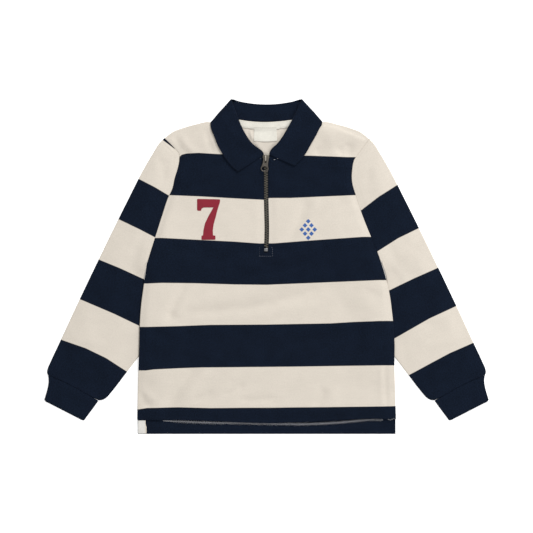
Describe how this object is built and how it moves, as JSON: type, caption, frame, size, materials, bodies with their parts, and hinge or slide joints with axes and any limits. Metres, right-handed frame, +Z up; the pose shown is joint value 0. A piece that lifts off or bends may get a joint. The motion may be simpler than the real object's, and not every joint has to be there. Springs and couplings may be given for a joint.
{
  "type": "long-sleeve polo shirt",
  "caption": "Striped knit polo shirt with long sleeves, a half zip, a folded collar and rib cuffs, laid flat with its front up.",
  "frame": {"origin": "on the surface that the shirt lies on, below the middle of its outline", "axes": "+Y from the hem to the collar, +Z up out of the surface, +X to the wearer's left sleeve"},
  "size_m": [0.6884, 0.5184, 0.0095],
  "materials": {
    "ecru_knit": "matte cotton knit",
    "navy_rib": "matte cotton rib",
    "navy_collar": "matte flat-knit cotton",
    "pale_tape": "matte woven tape",
    "zip_tape": "woven polyester",
    "dark_metal": "dark antique plating",
    "antique_brass": "antique plating",
    "silver_metal": "satin"
  },
  "bodies": {
    "garment": {"back_panel": "ecru_knit", "front_panel": "ecru_knit", "sleeve_right": "ecru_knit", "sleeve_left": "ecru_knit", "cuff_right": "navy_rib", "cuff_left": "navy_rib", "collar_leaf": "navy_collar", "collar_stand": "navy_collar", "neck_tape": "pale_tape", "neck_label": "pale_tape", "size_tab": "pale_tape", "vent_tape": "pale_tape", "zip_tape_right": "zip_tape", "zip_tape_left": "zip_tape", "zip_chain": "dark_metal", "zip_bottom_stop": "silver_metal", "zip_slider": "dark_metal"},
    "pull": {"zip_pull": "antique_brass"}
  },
  "joints": [
    {"name": "pull_hinge", "type": "hinge", "parent": "garment", "child": "pull", "pos_m": [-0.0008, 0.1659, 0.00749], "axis": [-0.9905, 0.1374, 0], "range_deg": [0, 160]}
  ]
}
